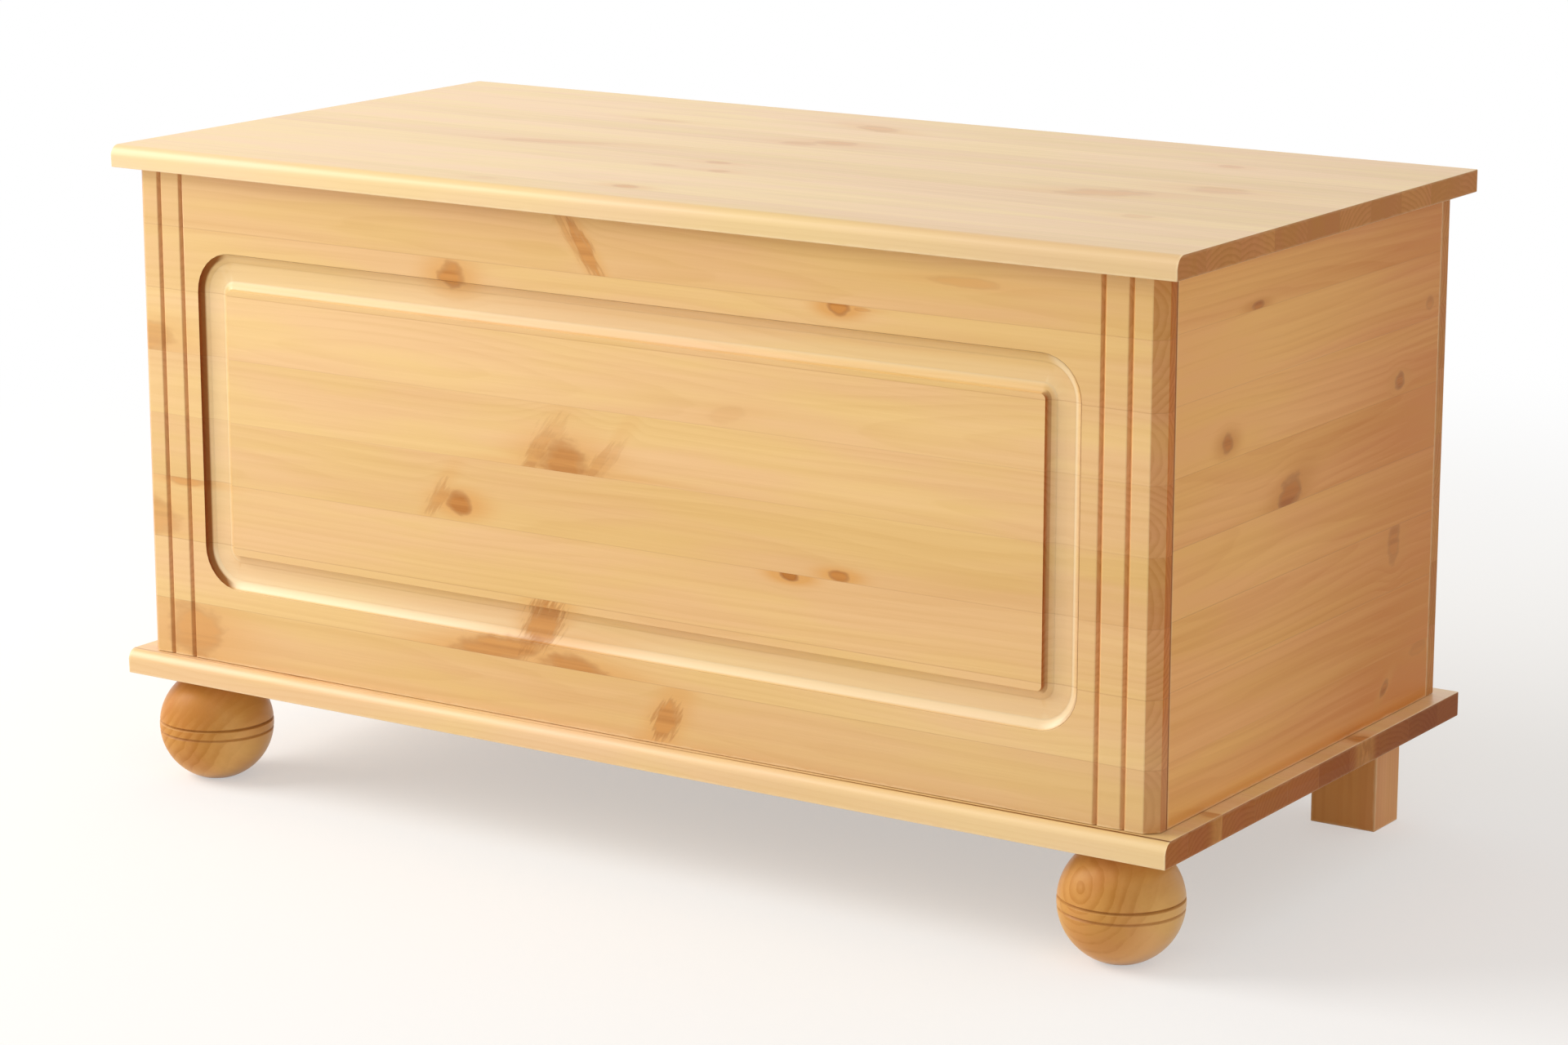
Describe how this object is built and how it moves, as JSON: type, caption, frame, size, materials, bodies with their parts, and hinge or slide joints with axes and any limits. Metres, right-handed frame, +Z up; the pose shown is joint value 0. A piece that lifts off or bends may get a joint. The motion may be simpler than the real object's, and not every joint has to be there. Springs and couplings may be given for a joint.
{
  "type": "storage chest",
  "caption": "Pine storage chest with a hinged lid on a slotted stay, a routed moulding on the front board, ball feet in front and square legs behind.",
  "frame": {"origin": "on the floor, in the middle of the chest's outline", "axes": "+Z up, front faces -Y, +X to the right as seen from the front"},
  "size_m": [0.93, 0.4699, 0.504],
  "materials": {
    "lid_pine": "pale glued-up pine board, waxed to a soft sheen",
    "front_pine": "honey pine with knots, clear satin lacquer",
    "side_pine": "honey pine boards, clear satin lacquer",
    "base_pine": "honey pine board, clear satin lacquer",
    "inner_pine": "planed pine, unfinished",
    "turned_pine": "turned pine, clear satin lacquer",
    "leg_pine": "brown pine block, clear satin lacquer",
    "zinc_plate": "bright zinc plated steel"
  },
  "bodies": {
    "carcass": {"back_panel": "side_pine", "base_board": "base_pine", "base_screw_back_1": "zinc_plate", "base_screw_back_2": "zinc_plate", "base_screw_back_3": "zinc_plate", "base_screw_front_1": "zinc_plate", "base_screw_front_2": "zinc_plate", "base_screw_front_3": "zinc_plate", "base_screw_left": "zinc_plate", "base_screw_right": "zinc_plate", "corner_cleat_front_left": "inner_pine", "corner_cleat_front_right": "inner_pine", "corner_cleat_rear_left": "inner_pine", "corner_cleat_rear_right": "inner_pine", "foot_ball_left": "turned_pine", "foot_ball_right": "turned_pine", "foot_bolt_left": "zinc_plate", "foot_bolt_right": "zinc_plate", "front_panel": "front_pine", "hinge_body_leaf_left": "zinc_plate", "hinge_body_leaf_left_screw_1": "zinc_plate", "hinge_body_leaf_left_screw_2": "zinc_plate", "hinge_body_leaf_right": "zinc_plate", "hinge_body_leaf_right_screw_1": "zinc_plate", "hinge_body_leaf_right_screw_2": "zinc_plate", "hinge_pin_left": "zinc_plate", "hinge_pin_right": "zinc_plate", "hinge_rail": "inner_pine", "leg_screw_left_1": "zinc_plate", "leg_screw_left_2": "zinc_plate", "leg_screw_right_1": "zinc_plate", "leg_screw_right_2": "zinc_plate", "rear_leg_left": "leg_pine", "rear_leg_right": "leg_pine", "side_panel_left": "side_pine", "side_panel_right": "side_pine", "stay_stud": "zinc_plate"},
    "lid": {"batten_screw_left_1": "zinc_plate", "batten_screw_left_2": "zinc_plate", "batten_screw_right_1": "zinc_plate", "batten_screw_right_2": "zinc_plate", "hinge_lid_leaf_left": "zinc_plate", "hinge_lid_leaf_left_screw_1": "zinc_plate", "hinge_lid_leaf_left_screw_2": "zinc_plate", "hinge_lid_leaf_right": "zinc_plate", "hinge_lid_leaf_right_screw_1": "zinc_plate", "hinge_lid_leaf_right_screw_2": "zinc_plate", "lid_batten_left": "inner_pine", "lid_batten_right": "inner_pine", "lid_panel": "lid_pine", "stay_pivot_screw": "zinc_plate", "stay_washer": "zinc_plate"},
    "stay_arm": {"stay_arm": "zinc_plate"}
  },
  "joints": [
    {"name": "lid_hinge", "type": "hinge", "parent": "carcass", "child": "lid", "pos_m": [0, 0.2223, 0.48371], "axis": [-1, 0, 0], "range_deg": [0, 95]},
    {"name": "stay_pivot", "type": "hinge", "parent": "lid", "child": "stay_arm", "pos_m": [0.4295, 0.0725, 0.47601], "axis": [1, 0, 0], "range_deg": [0, 47.5]}
  ],
  "couplings": [
    {"joint": "stay_pivot", "follows": "lid_hinge", "ratio": 0.5}
  ]
}
